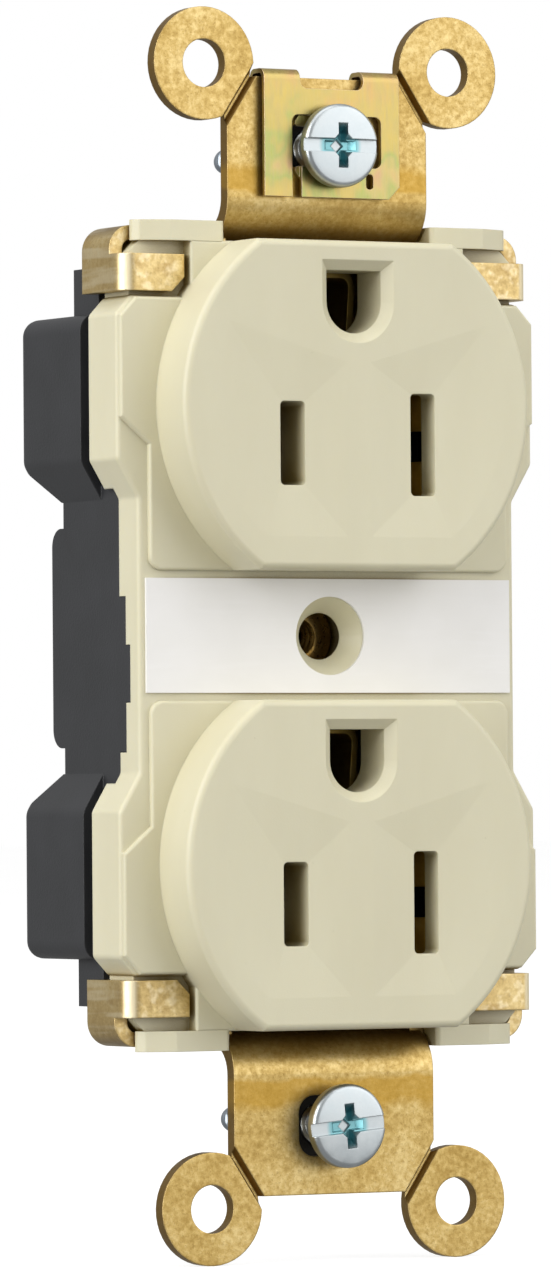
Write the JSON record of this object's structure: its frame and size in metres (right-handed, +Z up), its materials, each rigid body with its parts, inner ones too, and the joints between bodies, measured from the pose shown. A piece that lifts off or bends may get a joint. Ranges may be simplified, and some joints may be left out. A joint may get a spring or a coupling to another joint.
{
  "type": "duplex wall outlet",
  "caption": "Duplex wall outlet with grounded faces, brass mounting strap with break-off ears, self-grounding clip, captive screws and a rear plug-in line inlet.",
  "frame": {"origin": "on the cover screw's axis, midway between the mounting screws, in the plane of the backs of the strap's ears", "axes": "+Z up along the strap, +X right for someone facing the outlet, +Y back into the wall"},
  "size_m": [0.0406, 0.0303, 0.1064],
  "materials": {
    "ivory_nylon": "satin moulded nylon",
    "white_label": "plain matt label",
    "charcoal_plastic": "fine moulded texture",
    "strap_brass": "dull stamped brass",
    "turned_brass": "turned brass",
    "contact_brass": "bright rolled brass",
    "chromated_steel": "yellow chromate with a faint iridescence",
    "retainer_plastic": "moulded",
    "zinc_steel": "bright zinc",
    "washer_plastic": "black fibre"
  },
  "bodies": {
    "outlet": {"front_cover": "ivory_nylon", "face_label": "white_label", "rear_body": "charcoal_plastic", "mounting_strap": "strap_brass", "self_grounding_clip": "chromated_steel", "cover_screw_bushing": "turned_brass", "hot_contact_strip": "contact_brass", "neutral_contact_strip": "contact_brass", "upper_ground_contact": "contact_brass", "lower_ground_contact": "contact_brass", "hot_inlet_blade": "contact_brass", "neutral_inlet_blade": "contact_brass", "ground_inlet_blade": "contact_brass", "ground_contact_rivets": "turned_brass", "ground_inlet_rivet": "turned_brass", "line_inlet_rivets": "turned_brass", "contact_retainer": "retainer_plastic", "assembly_screws": "zinc_steel"},
    "upper_screw_carrier": {"upper_screw_washer": "washer_plastic"},
    "upper_screw": {"upper_mounting_screw": "zinc_steel"},
    "lower_screw_carrier": {"lower_screw_washer": "washer_plastic"},
    "lower_screw": {"lower_mounting_screw": "zinc_steel"}
  },
  "joints": [
    {"name": "upper_screw_slide", "type": "slide", "parent": "outlet", "child": "upper_screw_carrier", "axis": [0, 1, 0], "range_m": [-0.001, 0.0006]},
    {"name": "upper_screw_turn", "type": "hinge", "parent": "upper_screw_carrier", "child": "upper_screw", "pos_m": [0, 0, 0.04165], "axis": [0, 1, 0], "continuous": true},
    {"name": "lower_screw_slide", "type": "slide", "parent": "outlet", "child": "lower_screw_carrier", "axis": [0, 1, 0], "range_m": [-0.001, 0.0014]},
    {"name": "lower_screw_turn", "type": "hinge", "parent": "lower_screw_carrier", "child": "lower_screw", "pos_m": [0, 0, -0.04165], "axis": [0, 1, 0], "continuous": true}
  ]
}
